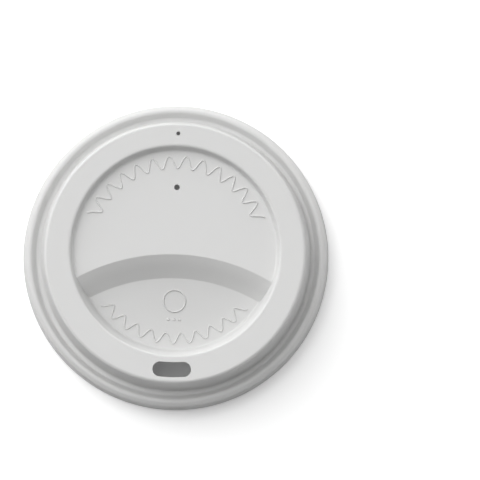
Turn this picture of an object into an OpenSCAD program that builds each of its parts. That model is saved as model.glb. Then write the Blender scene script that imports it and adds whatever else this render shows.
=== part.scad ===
// Sip-through lid for a paper coffee cup, moulded in one piece.
// The origin is the centre of the rim that it rests on. The sip slot is on the -Y side.

/* [Cup fit] */
// Outside diameter of the rolled rim of the cup
cup_rim_d = 90; // [72:0.5:98]
// Gap on the radius between the rolled rim and the seat under the bead
seat_clearance = 0.15; // [0.05:0.05:0.4]
// How far the neck closes in under the rolled rim, on the radius
snap_bite = 0.2; // [0.05:0.05:0.45]

/* [Shell] */
// Thickness of the moulded wall
wall = 0.5; // [0.4:0.05:0.7]

/* [Skirt] */
// Height of the skirt, from the rim to the lower end of the neck
skirt_h = 4; // [3.2:0.1:6]
// How far the trimmed lip stands out past the bead, on the radius
lip_out = 0.75; // [0.6:0.05:1.2]
// Height of the lip's outer edge
lip_h = 0.5; // [0.4:0.05:0.8]
// Width of the flat foot under the lip
lip_w = 0.85; // [0.7:0.05:1.1]
// How far the top of the skirt stands out past the bead, on the radius
skirt_top_out = 0.1; // [0:0.05:0.3]
// Height of the shoulder between the skirt and the neck
skirt_step_h = 0.7; // [0.5:0.05:1.1]

/* [Snap bead] */
// Height of the neck's straight land
neck_h = 1; // [0.8:0.05:1.6]
// Height of the taper from the neck out to the bead
bead_taper_h = 0.9; // [0.6:0.05:1.4]
// Height of the bead's upright side
bead_side_h = 1.1; // [0.8:0.05:2]
// Height of the bead's outer shoulder
bead_shoulder_h = 1; // [0.6:0.05:1.5]
// Width of the bead across its foot, from the channel to its outside
bead_w = 3.45; // [3.3:0.05:4.5]
// Width of the bead's outer shoulder
bead_shoulder_w = 1.2; // [1:0.05:1.4]
// Width of the bead's crest between its two shoulders
bead_crest_w = 0.95; // [0.9:0.05:1.2]
// Depth of the channel between the bead and the dome, whose outer wall plugs the cup's mouth
channel_d = 2.4; // [1.8:0.1:2.5]
// Width of the channel's floor
channel_w = 1.4; // [1.4:0.05:2.5]

/* [Dome] */
// Height of the ring on top above the bead's crest
dome_h = 10; // [8.5:0.5:16]
// Draft of the dome's side wall
dome_draft = 8; // [3:1:14]
// Width of the flat ring round the recess, halfway along its sides
ring_w = 7.6; // [6.6:0.1:9]

/* [Recess] */
// How far the recess lies back from the lid's axis, which widens the ring round the sip slot
recess_back = 0.65; // [0:0.05:1]
// Depth of the raised half of the recess, below the ring
plateau_d = 2.6; // [2:0.1:3.6]
// Depth of the drinking pocket, below the ring
pocket_d = 7.2; // [6:0.1:8.4]
// Draft of the recess wall round the raised half
recess_draft = 20; // [12:1:26]
// How many degrees steeper the wall stands round the pocket
pocket_steeper = 4; // [3:1:8]
// Radius of the curved ridge between the two halves, in plan
ridge_r = 59.3; // [45:0.5:90]
// Place of the ridge's middle along Y, with the lid's axis at 0
ridge_y = -0.3; // [-4:0.1:4]
// Length of the slope from the ridge down to the pocket's floor
slope_run = 6.8; // [5.5:0.1:9]

/* [Openings] */
// Distance of the sip slot's middle from the ring's outer edge
slot_in = 4; // [3.6:0.1:4.5]
// Length of the sip slot along its curve, over its round ends
slot_l = 11.5; // [8:0.1:16]
// Width of the sip slot
slot_w = 4.5; // [3:0.1:5]
// Diameter of the vent in the raised half
vent_d = 1.7; // [1:0.1:3]
// Distance of that vent from the lid's axis
vent_y = 19.9; // [12:0.1:24]
// Diameter of the pin vent in the ring
pin_vent_d = 1.2; // [0.8:0.1:2]
// Distance of the pin vent from the ring's outer edge
pin_vent_in = 3.2; // [2.2:0.1:4]

/* [Rounding] */
// Radius on the ring's outer edge
ring_edge_fillet = 1; // [0.6:0.05:1.4]
// Radius on the rim of the recess
recess_edge_fillet = 0.8; // [0.6:0.05:1]
// Radius in the corner at the foot of the recess wall
recess_foot_fillet = 0.8; // [0.5:0.05:1]
// Radius on the ridge
ridge_fillet = 1; // [0.8:0.05:2]
// Radius at the foot of the slope
slope_foot_fillet = 1; // [0.5:0.05:2]
// Radius at the foot of the dome, in the channel
channel_dome_fillet = 1; // [0.5:0.05:1.1]
// Radius at the foot of the bead, in the channel
channel_bead_fillet = 0.6; // [0.3:0.05:0.8]
// Radius on the bead's crest and shoulders
bead_fillet = 0.95; // [0.7:0.05:1]
// Radius where the bead's side turns in to the neck
bead_side_fillet = 0.6; // [0.55:0.05:1]
// Radius in the neck, above and below its land
neck_fillet = 0.3; // [0.1:0.05:0.6]
// Radius on the skirt's top shoulder
skirt_fillet = 0.8; // [0.75:0.05:1]
// Radius above the lip
lip_root_fillet = 0.25; // [0.1:0.05:0.3]
// Radius on the lip's own edges
lip_edge_fillet = 0.15; // [0.05:0.05:0.15]

/* [Hidden] */
$fn = 240;
// Largest turn between two points of a rounded corner, in degrees
arc_step = 9;

// Heights of the profile, from the rim up
lip_root_z = lip_h + 0.3;
skirt_top_z = skirt_h - skirt_step_h;
neck_top_z = skirt_h + neck_h;
bead_side_z = neck_top_z + bead_taper_h;
bead_shoulder_z = bead_side_z + bead_side_h;
bead_crest_z = bead_shoulder_z + bead_shoulder_h;
channel_z = bead_crest_z - channel_d;
ring_z = bead_crest_z + dome_h;
plateau_z = ring_z - plateau_d;
pocket_z = ring_z - pocket_d;

// Radii of the profile, from the cup's rim
neck_r = cup_rim_d / 2 - snap_bite + wall;
bead_r = cup_rim_d / 2 + seat_clearance + wall;
lip_r = bead_r + lip_out;
lip_root_r = lip_r - 0.35;
skirt_top_r = bead_r + skirt_top_out;
bead_foot_r = bead_r - bead_w;
bead_crest_out_r = bead_r - bead_shoulder_w;
bead_crest_in_r = bead_crest_out_r - bead_crest_w;
dome_foot_r = bead_foot_r - channel_w;
ring_r = dome_foot_r - (ring_z - channel_z) * tan(dome_draft);
recess_r = ring_r - ring_w;
slot_r = ring_r - slot_in;

// Faint angle at which rounded edges run into the flats beside them
run_in_angle = 5;

// Corner between the recess wall and its rim, just low enough for the rim to run into the ring
rim_z = ring_z - 0.9 * recess_edge_fillet * tan(run_in_angle);

// The pocket's steeper wall leaves the recess wall just under the rounded rim
pocket_draft = recess_draft - pocket_steeper;
pocket_wall_z = ring_z - 1.25 * recess_edge_fillet;
pocket_wall_top_r = recess_r - (rim_z - pocket_wall_z) * tan(recess_draft);

// Slope between the two halves
ridge_axis_y = ridge_y - ridge_r;
slope_angle = atan((pocket_d - plateau_d) / slope_run);

// Corners of the moulded surface that shows, from the lip in to the axis
outside = [
    [lip_r, 0],
    [lip_r, lip_h],
    [lip_root_r, lip_root_z],
    [skirt_top_r, skirt_top_z],
    [neck_r, skirt_h],
    [neck_r, neck_top_z],
    [bead_r, bead_side_z],
    [bead_r, bead_shoulder_z],
    [bead_crest_out_r, bead_crest_z],
    [bead_crest_in_r, bead_crest_z],
    [bead_foot_r, channel_z],
    [dome_foot_r, channel_z],
    [ring_r, ring_z],
    [0, ring_z],
];
// Radius at each of those corners, below 0 where the surface is hollow
outside_fillets = [
    lip_edge_fillet,
    lip_edge_fillet,
    -lip_root_fillet,
    skirt_fillet,
    -neck_fillet,
    -neck_fillet,
    bead_side_fillet,
    bead_fillet,
    bead_fillet,
    bead_fillet,
    -channel_bead_fillet,
    -channel_dome_fillet,
    ring_edge_fillet,
    0,
];

function unit(v) = v / norm(v);
function left_of(v) = [-v.y, v.x];
function turned(v, angle) = v.x * [cos(angle), sin(angle)] + v.y * [-sin(angle), cos(angle)];
function reversed(list) = [for (i = [len(list) - 1 : -1 : 0]) list[i]];

// Points on the arc that starts at centre + arm and turns through an angle
function arc(centre, arm, angle) =
    let(steps = ceil(abs(angle) / arc_step))
    [for (k = [0 : steps]) centre + turned(arm, angle * k / steps)];

// Corner v of an outline, between its neighbours a and b, rounded with radius r
function rounded_corner(a, v, b, r) =
    let(
        back = unit(a - v),
        on = unit(b - v),
        half = acos(back * on) / 2,
        centre = v + unit(back + on) * r / sin(half),
        side = back.x * on.y > back.y * on.x ? -1 : 1
    )
    arc(centre, v + back * r / tan(half) - centre, side * (180 - 2 * half));

// Closed outline with each corner rounded by its radius, or left sharp where that is 0
function rounded(points, radii) =
    let(count = len(points))
    [
        for (i = [0 : count - 1])
            let(
                before = points[(i + count - 1) % count],
                after = points[(i + 1) % count]
            )
            for (p = radii[i] > 0 ? rounded_corner(before, points[i], after, radii[i]) : [points[i]])
                p
    ];

// Corner i of an open path, moved a distance g to the path's left
function moved_corner(path, i, g) =
    let(
        last = len(path) - 1,
        before = max(i, 1),
        after = min(i, last - 1),
        side = left_of(unit(path[before] - path[before - 1])) + left_of(unit(path[after + 1] - path[after]))
    )
    path[i] + g * side * 2 / (side * side);

// Underside of the shell, one wall under the outside, from the skirt's top to the axis
first_inside = 3;
inside = [for (i = [first_inside : len(outside) - 1]) moved_corner(outside, i, wall)];
inside_fillets = [for (i = [first_inside : len(outside) - 1]) abs(outside_fillets[i] - wall)];

// Lip, skirt, neck, bead, channel and dome, with a flat top in place of the ring and the recess
module round_shell() {
    points = concat(outside, reversed(inside), [[lip_r - lip_w, 0]]);
    outside_radii = [for (f = outside_fillets) abs(f)];
    inside_radii = [for (i = [0 : len(inside) - 2]) inside_fillets[i]];
    radii = concat(outside_radii, [0], reversed(inside_radii), [0]);
    rotate_extrude()
        polygon(rounded(points, radii));
}

// Round hollow with drafted sides and radius r at height z, from its floor up to top.
// It is grown by g below and at its sides.
module drafted_round(r, z, draft, floor_z, g, top) {
    low = floor_z - g;
    function wall_r(h) = r + g / cos(draft) - (z - h) * tan(draft);
    translate([0, recess_back, 0])
        rotate_extrude()
            polygon(rounded(
                [[0, low], [wall_r(low), low], [wall_r(top), top], [0, top]],
                [0, recess_foot_fillet + g, 0, 0]
            ));
}

// Wall and floor of the raised half of the recess, all round and still filled
module recess_skin() {
    drafted_round(recess_r, rim_z, recess_draft, plateau_z, wall, ring_z - wall / 2);
}

// Space that the recess leaves open above its raised half, and the rounded rim
module recess_space() {
    translate([0, recess_back, 0])
        rotate_extrude()
            polygon(rounded(
                [
                    [0, plateau_z],
                    [recess_r - (rim_z - plateau_z) * tan(recess_draft), plateau_z],
                    [recess_r, rim_z],
                    [ring_r, rim_z + ring_w * tan(run_in_angle)],
                    [ring_r, 2 * ring_z],
                    [0, 2 * ring_z]
                ],
                [0, recess_foot_fillet, recess_edge_fillet, 0, 0, 0]
            ));
}

// Drinking pocket as far up as top, grown by g below and at its sides
module pocket_round(g, top) {
    drafted_round(pocket_wall_top_r, pocket_wall_z, pocket_draft, pocket_z, g, top);
}

// What lies on the sip side of the slope and above it, from end_r in to the ridge's axis
module sip_side(g, end_r, top) {
    foot = [ridge_r - slope_run + g * tan(slope_angle / 2), pocket_z - g];
    ridge = [ridge_r + g * tan(slope_angle / 2), plateau_z - g];
    translate([0, ridge_axis_y, 0])
        rotate_extrude()
            polygon(rounded(
                [
                    [0, foot.y - foot.x * tan(run_in_angle)],
                    foot,
                    ridge,
                    [end_r, ridge.y + (end_r - ridge.x) * tan(run_in_angle)],
                    [end_r, top],
                    [0, top]
                ],
                [0, slope_foot_fillet + g, ridge_fillet - g, 0, 0, 0]
            ));
}

// Wall of the drinking pocket and its slope, still filled
module pocket_skin() {
    crossing = wall * (1 / cos(recess_draft) - 1 / cos(pocket_draft))
        / (tan(recess_draft) - tan(pocket_draft));
    top = pocket_wall_z - crossing / 2;
    intersection() {
        pocket_round(wall, top);
        sip_side(wall, ridge_r + wall, ring_z);
    }
}

// Space that the drinking pocket leaves open above its floor and slope
module pocket_space() {
    intersection() {
        pocket_round(0, ring_z - recess_edge_fillet / 2);
        sip_side(0, ridge_r + recess_r, 2 * ring_z);
    }
}

// Curved sip slot with round ends
module sip_slot() {
    half_angle = (slot_l - slot_w) / 2 / slot_r * 180 / PI;
    left_end = turned([0, -1], -half_angle);
    right_end = turned([0, -1], half_angle);
    translate([0, 0, ring_z - 2 * wall])
        linear_extrude(height = 3 * wall)
            polygon(concat(
                arc([0, 0], left_end * (slot_r + slot_w / 2), 2 * half_angle),
                arc(right_end * slot_r, right_end * slot_w / 2, 180),
                arc([0, 0], right_end * (slot_r - slot_w / 2), -2 * half_angle),
                arc(left_end * slot_r, -left_end * slot_w / 2, 180)
            ));
}

// Round vent through the wall whose upper face is at z
module vent_hole(y, z, d) {
    translate([0, y, z - 2 * wall])
        cylinder(d = d, h = 3 * wall);
}

module lid() {
    color("whitesmoke")
        difference() {
            union() {
                round_shell();
                recess_skin();
                pocket_skin();
            }
            recess_space();
            pocket_space();
            sip_slot();
            vent_hole(vent_y, plateau_z, vent_d);
            vent_hole(ring_r - pin_vent_in, ring_z, pin_vent_d);
        }
}

lid();
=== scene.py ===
from math import atan2, cos, pi, radians, sin

import bmesh
import bpy
from mathutils import Matrix, Vector


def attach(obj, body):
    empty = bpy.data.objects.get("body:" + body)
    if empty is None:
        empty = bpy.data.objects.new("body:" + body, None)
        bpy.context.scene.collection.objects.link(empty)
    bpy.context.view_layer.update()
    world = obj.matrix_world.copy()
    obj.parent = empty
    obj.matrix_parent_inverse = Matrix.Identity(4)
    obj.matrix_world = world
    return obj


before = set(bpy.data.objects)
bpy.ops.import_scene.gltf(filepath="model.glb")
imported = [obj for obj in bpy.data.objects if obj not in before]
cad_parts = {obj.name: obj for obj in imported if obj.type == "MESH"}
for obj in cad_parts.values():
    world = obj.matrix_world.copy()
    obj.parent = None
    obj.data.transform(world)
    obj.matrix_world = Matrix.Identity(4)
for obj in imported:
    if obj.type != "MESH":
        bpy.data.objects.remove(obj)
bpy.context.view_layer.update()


# The viewpoint: a long lens, almost straight above the lid and a little to its drinking side.
# It stands to the right of the lid's axis, so that the lid lies left of the picture's middle,
# as it does in the photograph.
VIEW_TILT = radians(5.3)
VIEW_ROLL = radians(1.5)
VIEW_DISTANCE = 1.0
PIXELS_PER_M = 3286.6
FRAME_PIXELS = 480
LID_CENTRE_PIXEL = (176.0, 257.8)
SENSOR_WIDTH = 36

forward = Vector((0, sin(VIEW_TILT), -cos(VIEW_TILT)))
level_right = Vector((1, 0, 0))
level_up = level_right.cross(forward)
view_right = cos(VIEW_ROLL) * level_right + sin(VIEW_ROLL) * level_up
view_up = view_right.cross(forward)
across = (FRAME_PIXELS / 2 - LID_CENTRE_PIXEL[0]) / PIXELS_PER_M
along = (LID_CENTRE_PIXEL[1] - FRAME_PIXELS / 2) / PIXELS_PER_M

scene = bpy.context.scene
lens = bpy.data.cameras.new("camera")
lens.sensor_width = SENSOR_WIDTH
lens.lens = SENSOR_WIDTH * PIXELS_PER_M * VIEW_DISTANCE / FRAME_PIXELS
camera = bpy.data.objects.new("camera", lens)
camera.matrix_world = Matrix.Translation(
    across * view_right + along * view_up - VIEW_DISTANCE * forward
) @ Matrix((view_right, view_up, -forward)).transposed().to_4x4()
scene.collection.objects.link(camera)
scene.camera = camera


# The lid: one thin shell of white polypropylene, formed over a mould and trimmed round its lip.
# The mould leaves a satin grain, and the sheet cools with faint waves and clouds in it. Down in
# the drinking pocket the colour is greyed: painted shade, for the shade that falls in the deep
# pocket.
RAISED_HALF_Z = 0.0154
POCKET_SHADE_FULL_Z = 0.0126
RECESS_REACH = 0.033
WHITE_PLASTIC = (0.7, 0.7, 0.695, 1)
# The second white is painted shade, the greyer colour given to the pocket's floor.
POCKET_SHADE_WHITE = (0.615, 0.615, 0.61, 1)
GRAIN_SIZE = 0.00035
GRAIN_DETAIL = 2
GRAIN_DEPTH = 0.000004
WAVE_SIZE = 0.009
WAVE_DETAIL = 1
WAVE_DEPTH = 0.00003
CLOUD_SIZE = 0.0167
CLOUD_DETAIL = 3
CLOUD_SHARE = 0.12
ROUGHNESS_LEAST = 0.38
ROUGHNESS_SPREAD = 0.08
PLASTIC_IOR = 1.49
INNER_LIGHT_SHARE = 0.25
INNER_LIGHT_DEPTH = 0.0004
INNER_LIGHT_BY_COLOUR = (1, 1, 0.95)
MIX_COLOUR_A, MIX_COLOUR_B, MIX_COLOUR_RESULT = 6, 7, 2


class Socket:
    """A node's output, on which Python's operators make Math nodes."""

    def __init__(self, tree, socket):
        self.tree = tree
        self.socket = socket

    def math(self, operation, *values):
        return self.tree.node("ShaderNodeMath", {"operation": operation}, list(enumerate(values)))

    def __add__(self, other):
        return self.math("ADD", self, other)

    def __radd__(self, other):
        return self.math("ADD", other, self)

    def __sub__(self, other):
        return self.math("SUBTRACT", self, other)

    def __rsub__(self, other):
        return self.math("SUBTRACT", other, self)

    def __mul__(self, other):
        return self.math("MULTIPLY", self, other)

    def __rmul__(self, other):
        return self.math("MULTIPLY", other, self)

    def __pow__(self, other):
        return self.math("POWER", self, other)

    def __gt__(self, other):
        return self.math("GREATER_THAN", self, other)

    def at_least(self, other):
        return self.math("MAXIMUM", self, other)


class Shader:
    """The node tree of a material or a world, emptied and ready to be built."""

    def __init__(self, owner):
        owner.use_nodes = True
        self.nodes = owner.node_tree.nodes
        self.links = owner.node_tree.links
        self.nodes.clear()

    def node(self, kind, settings, sockets, output=0):
        """Adds a node, sets it, fills or links its sockets, and returns one of its outputs."""
        made = self.nodes.new(kind)
        for name, value in settings.items():
            setattr(made, name, value)
        for name, value in sockets:
            if isinstance(value, Socket):
                self.links.new(value.socket, made.inputs[name])
            else:
                made.inputs[name].default_value = value
        return Socket(self, made.outputs[output]) if len(made.outputs) else None

    def noise(self, place, size, detail):
        """A soft random pattern, with spots of about the given size."""
        return self.node(
            "ShaderNodeTexNoise", {}, [("Vector", place), ("Scale", 1 / size), ("Detail", detail)]
        )

    def vector_math(self, operation, values, output):
        """A Vector Math node, read as a vector or as a number."""
        return self.node(
            "ShaderNodeVectorMath", {"operation": operation}, list(enumerate(values)), output
        )


def pocket_shade_fade(tree, place):
    """0 at the pocket's floor, where the painted shade is full, rising to 1 at the raised half
    and everywhere outside the recess, where no shade is painted."""
    height = tree.vector_math("DOT_PRODUCT", (place, (0, 0, 1)), "Value")
    flattened = tree.vector_math("MULTIPLY", (place, (1, 1, 0)), "Vector")
    reach = tree.vector_math("LENGTH", (flattened,), "Value")
    shade_fade_by_height = tree.node(
        "ShaderNodeMapRange",
        {"interpolation_type": "SMOOTHSTEP"},
        [("Value", height), ("From Min", POCKET_SHADE_FULL_Z), ("From Max", RAISED_HALF_Z)],
    )
    return shade_fade_by_height.at_least(reach > RECESS_REACH)


satin_white = bpy.data.materials.new("lid_satin_white")
tree = Shader(satin_white)
place = tree.node("ShaderNodeTexCoord", {}, [], "Object")
grain = tree.noise(place, GRAIN_SIZE, GRAIN_DETAIL)
waves = tree.noise(place, WAVE_SIZE, WAVE_DETAIL)
cloud = tree.noise(place, CLOUD_SIZE, CLOUD_DETAIL)
# The tone mixes random clouds with painted shade that greys the pocket's floor and low walls.
tone_and_painted_shade = tree.node(
    "ShaderNodeMix",
    {"data_type": "RGBA"},
    [
        ("Factor", CLOUD_SHARE * cloud + (1 - CLOUD_SHARE) * pocket_shade_fade(tree, place)),
        (MIX_COLOUR_A, POCKET_SHADE_WHITE),
        (MIX_COLOUR_B, WHITE_PLASTIC),
    ],
    MIX_COLOUR_RESULT,
)
wavy = tree.node("ShaderNodeBump", {}, [("Distance", WAVE_DEPTH), ("Height", waves)])
surface = tree.node(
    "ShaderNodeBump", {}, [("Distance", GRAIN_DEPTH), ("Height", grain), ("Normal", wavy)]
)
plastic = tree.node(
    "ShaderNodeBsdfPrincipled",
    {},
    [
        ("Base Color", tone_and_painted_shade),
        ("Roughness", ROUGHNESS_LEAST + ROUGHNESS_SPREAD * cloud),
        ("IOR", PLASTIC_IOR),
        ("Subsurface Weight", INNER_LIGHT_SHARE),
        ("Subsurface Radius", INNER_LIGHT_BY_COLOUR),
        ("Subsurface Scale", INNER_LIGHT_DEPTH),
        ("Normal", surface),
    ],
)
tree.node("ShaderNodeOutputMaterial", {}, [("Surface", plastic)])
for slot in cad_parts["lid"].material_slots:
    slot.material = satin_white


# The raised marks: a fine wave along the far edge of the raised half, another round the pocket's
# floor, and a small ring over three pips beside it. They are low round ridges of the lid's own
# plastic, half sunk in the sheet, pressed in one with it by engraving in the mould.
POCKET_FLOOR_Z = 0.0108
RECESS_BACK = 0.00065
MARK_RISE = 0.00032
MARK_WIDTH = 0.00045
RIDGE_SIDES = 12
STEPS_PER_WAVE = 20


def moulded_mark(name, shape):
    """Makes a finished bmesh a piece in the lid's own plastic, carried by the lid."""
    bmesh.ops.recalc_face_normals(shape, faces=shape.faces)
    for face in shape.faces:
        face.smooth = True
    mesh = bpy.data.meshes.new(name)
    shape.to_mesh(mesh)
    shape.free()
    mesh.materials.append(satin_white)
    mark = bpy.data.objects.new(name, mesh)
    scene.collection.objects.link(mark)
    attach(mark, "root")


def ridge_section(shape, capped):
    """A ridge's cross section at the origin: an ellipse that stands upright, facing along Y."""
    outline = bmesh.ops.create_circle(
        shape, cap_ends=capped, segments=RIDGE_SIDES, radius=MARK_WIDTH / 2
    )["verts"]
    bmesh.ops.scale(shape, vec=(1, 2 * MARK_RISE / MARK_WIDTH, 1), verts=outline)
    bmesh.ops.rotate(shape, cent=(0, 0, 0), matrix=Matrix.Rotation(pi / 2, 3, "X"), verts=outline)
    return outline


def wave_line(name, floor_z, middle_angle, half_span, middle_radius, height, waves):
    """A ridge that waves between two circles round the recess, drawn out of its own end section.

    middle_angle and half_span give its arc, measured from +Y."""
    steps = waves * STEPS_PER_WAVE

    def section_at(step):
        turn = 2 * pi * step / STEPS_PER_WAVE
        radius = middle_radius + height / 2 * cos(turn)
        slope = atan2(height / 2 * sin(turn) * 2 * pi * waves, radius * 2 * half_span)
        return (
            Matrix.Translation((0, RECESS_BACK, 0))
            @ Matrix.Rotation(middle_angle - half_span + 2 * half_span * step / steps, 4, "Z")
            @ Matrix.Translation((0, radius, floor_z))
            @ Matrix.Rotation(slope, 4, "Z")
        )

    ridge = bmesh.new()
    outline = ridge_section(ridge, capped=True)
    bmesh.ops.rotate(ridge, cent=(0, 0, 0), matrix=Matrix.Rotation(pi / 2, 3, "Z"), verts=outline)
    bmesh.ops.transform(ridge, matrix=section_at(0), verts=outline)
    end = ridge.edges[:] + ridge.faces[:]
    for step in range(steps):
        end = bmesh.ops.extrude_face_region(ridge, geom=end, use_keep_orig=step == 0)["geom"]
        bmesh.ops.transform(
            ridge,
            matrix=section_at(step + 1) @ section_at(step).inverted(),
            verts=[part for part in end if isinstance(part, bmesh.types.BMVert)],
        )
    moulded_mark(name, ridge)


wave_line(
    "upper_wave",
    floor_z=RAISED_HALF_Z,
    middle_angle=0,
    half_span=radians(68),
    middle_radius=0.0268,
    height=0.0037,
    waves=13,
)
wave_line(
    "pocket_wave",
    floor_z=POCKET_FLOOR_Z,
    middle_angle=pi,
    half_span=radians(53),
    middle_radius=0.0259,
    height=0.0032,
    waves=10,
)

RING_RADIUS = 0.0033
RING_CENTRE = (0.0001, -0.0140)
RING_STEPS = 64
PIP_RADIUS = 0.00042
PIP_GAP = 0.0017
PIPS_Y = -0.0056
PIP_SEGMENTS, PIP_RINGS = 16, 10

ring = bmesh.new()
outline = ridge_section(ring, capped=False)
bmesh.ops.translate(ring, vec=(RING_RADIUS, 0, 0), verts=outline)
bmesh.ops.spin(
    ring,
    geom=ring.verts[:] + ring.edges[:],
    cent=(0, 0, 0),
    axis=(0, 0, 1),
    angle=2 * pi,
    steps=RING_STEPS,
    use_merge=True,
)
for side in (-1, 0, 1):
    pip = bmesh.ops.create_uvsphere(
        ring, u_segments=PIP_SEGMENTS, v_segments=PIP_RINGS, radius=PIP_RADIUS
    )["verts"]
    bmesh.ops.scale(ring, vec=(1, 1, MARK_RISE / PIP_RADIUS), verts=pip)
    bmesh.ops.translate(ring, vec=(side * PIP_GAP, PIPS_Y, 0), verts=pip)
bmesh.ops.translate(ring, vec=(*RING_CENTRE, POCKET_FLOOR_Z), verts=ring.verts)
moulded_mark("pocket_ring", ring)


# The table: a wide plain white board under the lid.
# To the camera it is the white ground of the picture, and it keeps the lid's soft shadow.
TABLE_HALF = 3
TABLE_WHITE = 0.5
TABLE_SEEN_WHITE = 1.15
TABLE_GLOW = 0.09


def seen_directly(tree):
    """1 for rays that show the background, straight or in gloss or glass, and 0 for the others,
    which light the lid."""
    shown_by = ("Is Camera Ray", "Is Glossy Ray", "Is Transmission Ray")
    return sum(tree.node("ShaderNodeLightPath", {}, [], ray) for ray in shown_by)


board = bmesh.new()
bmesh.ops.create_grid(board, x_segments=1, y_segments=1, size=TABLE_HALF)
table_mesh = bpy.data.meshes.new("table")
board.to_mesh(table_mesh)
board.free()
table = bpy.data.objects.new("table", table_mesh)
scene.collection.objects.link(table)

table_paint = bpy.data.materials.new("table_white")
tree = Shader(table_paint)
seen = seen_directly(tree)
shade = TABLE_WHITE + (TABLE_SEEN_WHITE - TABLE_WHITE) * seen
matt = tree.node("ShaderNodeBsdfDiffuse", {}, [("Color", shade)])
glow = tree.node("ShaderNodeEmission", {}, [("Strength", TABLE_GLOW * seen)])
both = tree.node("ShaderNodeAddShader", {}, [(0, matt), (1, glow)])
tree.node("ShaderNodeOutputMaterial", {}, [("Surface", both)])
table_mesh.materials.append(table_paint)


# The light: soft lamps that shine through a white studio tent. The main one is high behind the
# lid on its left, one hangs overhead, and three low ones fill the sides.
# Seen directly, the tent is plain white.
LAMP_FOCUS = 8
TENT_LAMPS = (
    # degrees round from +X towards +Y, degrees above the table, brightness
    (135, 50, 3.55),
    (0, 90, 0.95),
    (135, 6, 3.0),
    (45, 6, 2.1),
    (315, 6, 0.8),
)

tent = bpy.data.worlds.new("tent")
scene.world = tent
tree = Shader(tent)
direction = tree.node("ShaderNodeTexCoord", {}, [], "Generated")
lamplight = 0
for azimuth, height, brightness in TENT_LAMPS:
    towards = (
        cos(radians(height)) * cos(radians(azimuth)),
        cos(radians(height)) * sin(radians(azimuth)),
        sin(radians(height)),
    )
    facing = tree.vector_math("DOT_PRODUCT", (direction, towards), "Value")
    lamplight = lamplight + brightness * facing.at_least(0) ** LAMP_FOCUS
strength = lamplight + seen_directly(tree) * (1 - lamplight)
light = tree.node("ShaderNodeBackground", {}, [("Color", (1, 1, 1, 1)), ("Strength", strength)])
tree.node("ShaderNodeOutputWorld", {}, [("Surface", light)])

scene.view_settings.view_transform = "Standard"
